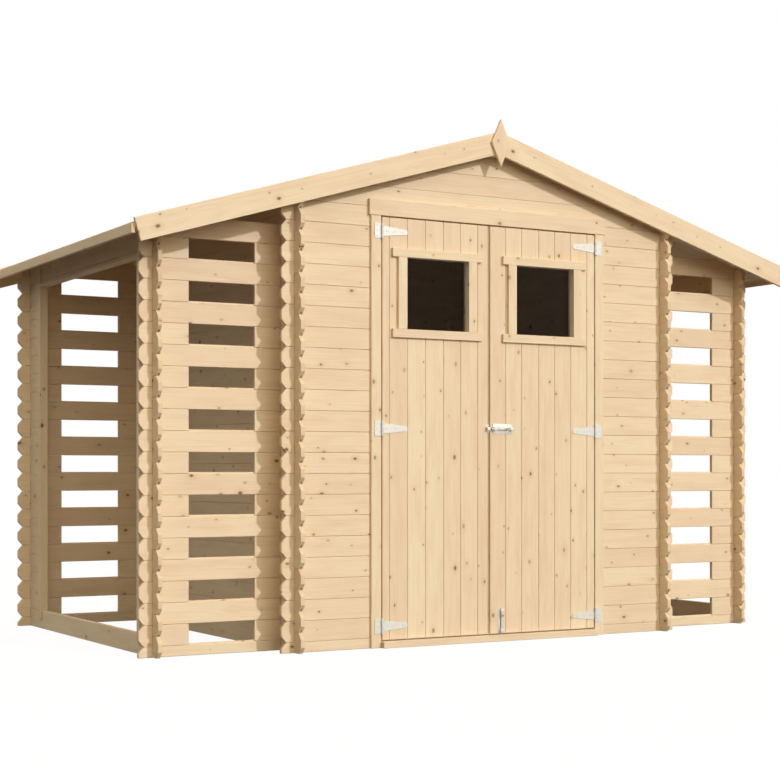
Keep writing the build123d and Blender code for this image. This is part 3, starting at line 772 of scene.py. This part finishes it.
# %% [markdown]
# ## Screws
# The tee hinges and barrel bolts are screwed on with pan-head screws. One is modelled: a squat cylinder
# with a rounded rim and a cross cut into its head by a Boolean. The others are copies of its mesh.

# %% One screw
HEAD_RADIUS, HEAD_HEIGHT, HEAD_SUNK = 3.6 * MM, 1.6 * MM, 0.4 * MM
CROSS_REACH, CROSS_HALF = 2.1 * MM, 0.45 * MM
CROSS_FRONT, CROSS_FLOOR = -2 * MM, -0.2 * MM
bpy.ops.object.select_all(action="DESELECT")
bpy.ops.mesh.primitive_cylinder_add(vertices=20, radius=HEAD_RADIUS, depth=HEAD_HEIGHT,
                                    rotation=(math.pi / 2, 0, 0))
screw = bpy.context.active_object
screw.name = "pan_head_screw"
bpy.ops.object.transform_apply(location=True, rotation=True, scale=True)
ease(screw, 0.7 * MM, 3, sharper_than=40)
for across, up in ((CROSS_REACH, CROSS_HALF), (CROSS_HALF, CROSS_REACH)):
    cut_out(screw, plank("slot", (-across, CROSS_FRONT, -up), (across, CROSS_FLOOR, up)))


def screw_at(x, y, z):
    """A copy of the screw with its head standing out from a plate's front at y."""
    copied = screw.copy()
    copied.data = screw.data.copy()
    bpy.context.scene.collection.objects.link(copied)
    for vertex in copied.data.vertices:
        vertex.co += Vector((x, y - HEAD_SUNK, z))
    return copied


def round_bar(start, end, radius):
    """A round bar with eased ends between two points, standing or lying along an axis."""
    way = Vector(end) - Vector(start)
    bpy.ops.object.select_all(action="DESELECT")
    bpy.ops.mesh.primitive_cylinder_add(
        vertices=28, radius=radius, depth=way.length, location=(Vector(start) + Vector(end)) / 2,
        rotation=way.to_track_quat("Z", "Y").to_euler())
    bar = bpy.context.active_object
    bpy.ops.object.transform_apply(location=True, rotation=True, scale=True)
    return ease(bar, 0.6 * MM, 2, sharper_than=40)


print("screw with", len(screw.data.polygons), "faces")

# %% [markdown]
# ## Hinges and bolts
# They are pressed from sheet, so their CAD shapes are copied and their edges rounded. The CAD knuckles
# have eight sides, which saves triangles; round barrels cover them here.

# %% Tee hinges
SHEET = 2.5 * MM
# The barrel is as wide as the CAD knuckle over its corners
KNUCKLE, BARREL = 5 * MM, 5.42 * MM
HINGE_X = 0.5655
HINGE_HEIGHTS = (0.094, 0.9405, 1.787)
PLATE_HALF, NECK_HALF, NECK_GAP = 32.5 * MM, 16 * MM, 0.4 * MM
PLATE_SCREW_REACH = 23 * MM
PLATE_SCREW_RISES = (-23 * MM, 0, 23 * MM)
STRAP_SCREW_REACHES = (24 * MM, 62 * MM, 104 * MM)


def steel_piece(pieces, name, body, node):
    """Joins the pieces of a fitting, finishes them in steel and hands them over."""
    whole = joined(pieces, name)
    whole.data.materials.clear()
    whole.data.materials.append(steel)
    select_only(whole)
    bpy.ops.object.shade_smooth_by_angle(angle=math.radians(35))
    return fit(whole, body, "galvanised_steel", node)


for side, outwards in (("left", -1), ("right", 1)):
    low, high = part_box(side + "_hinge_straps")
    sheet_front = high.y - SHEET
    axis_x = outwards * HINGE_X
    axis_y = low.y + KNUCKLE
    plates = [ease(copy_of(side + "_hinge_plates", "plates"), 0.4 * MM)]
    straps = [ease(copy_of(side + "_hinge_straps", "straps"), 0.4 * MM)]
    for height in HINGE_HEIGHTS:
        for bottom in (height - PLATE_HALF, height + NECK_HALF):
            top = bottom + PLATE_HALF - NECK_HALF
            plates.append(round_bar((axis_x, axis_y, bottom), (axis_x, axis_y, top), BARREL))
        neck = NECK_HALF - NECK_GAP
        straps.append(round_bar((axis_x, axis_y, height - neck), (axis_x, axis_y, height + neck), BARREL))
        for rise in PLATE_SCREW_RISES:
            plates.append(screw_at(axis_x + outwards * PLATE_SCREW_REACH, sheet_front, height + rise))
        for reach in STRAP_SCREW_REACHES:
            straps.append(screw_at(axis_x - outwards * reach, sheet_front, height))
    steel_piece(plates, side + "_hinge_plates_steel", "building", side + "_hinge_plates")
    steel_piece(straps, side + "_hinge_straps_steel", side + "_door", side + "_hinge_straps")
print("six tee hinges with", 6 * len(HINGE_HEIGHTS) * 2, "screws")

# %% Barrel bolts
PLATE = 2 * MM
ROD, KNOB, KNOB_ALONG = 5 * MM, 4.4 * MM, 78 * MM
SCREW_INSET = 26 * MM
LATCH_SCREW_RISE, KEEP_SCREW_RISE, FOOT_SCREW_SIDE = 15 * MM, 13 * MM, 10.5 * MM
for node, body, wide in (("latch_plate", "right_door", True), ("foot_bolt_plate", "right_door", False)):
    low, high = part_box(node)
    plate_front = high.y - PLATE
    housing = [ease(copy_of(node, "housing"), 0.5 * MM, 2)]
    for along in (SCREW_INSET, (high.x - low.x if wide else high.z - low.z) - SCREW_INSET):
        for across in (-1, 1):
            if wide:
                place = (low.x + along, plate_front, (low.z + high.z) / 2 + across * LATCH_SCREW_RISE)
            else:
                place = ((low.x + high.x) / 2 + across * FOOT_SCREW_SIDE, plate_front, low.z + along)
            housing.append(screw_at(*place))
    steel_piece(housing, node + "_steel", body, node)
low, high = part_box("latch_keep")
keep = [ease(copy_of("latch_keep", "keep"), 0.5 * MM, 2)]
for rise in (-KEEP_SCREW_RISE, KEEP_SCREW_RISE):
    keep.append(screw_at((low.x + high.x) / 2, high.y - PLATE, (low.z + high.z) / 2 + rise))
steel_piece(keep, "latch_keep_steel", "left_door", "latch_keep")
for node, body, place in (("latch_bolt", "latch", "x"), ("foot_bolt_rod", "foot_bolt", "z")):
    low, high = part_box(node)
    rod_y = high.y - ROD
    if place == "x":
        foot = Vector((low.x + KNOB_ALONG, rod_y, (low.z + high.z) / 2))
    else:
        foot = Vector(((low.x + high.x) / 2, rod_y, low.z + KNOB_ALONG))
    knob = round_bar(foot, (foot.x, low.y, foot.z), KNOB)
    steel_piece([ease(copy_of(node, "rod"), 0.4 * MM), knob], node + "_steel", body, node)
bpy.data.objects.remove(screw)
print("latch, keep and foot bolt with 10 screws")

# %% [markdown]
# ## Finish

# %% Finish
print("dressing finished")
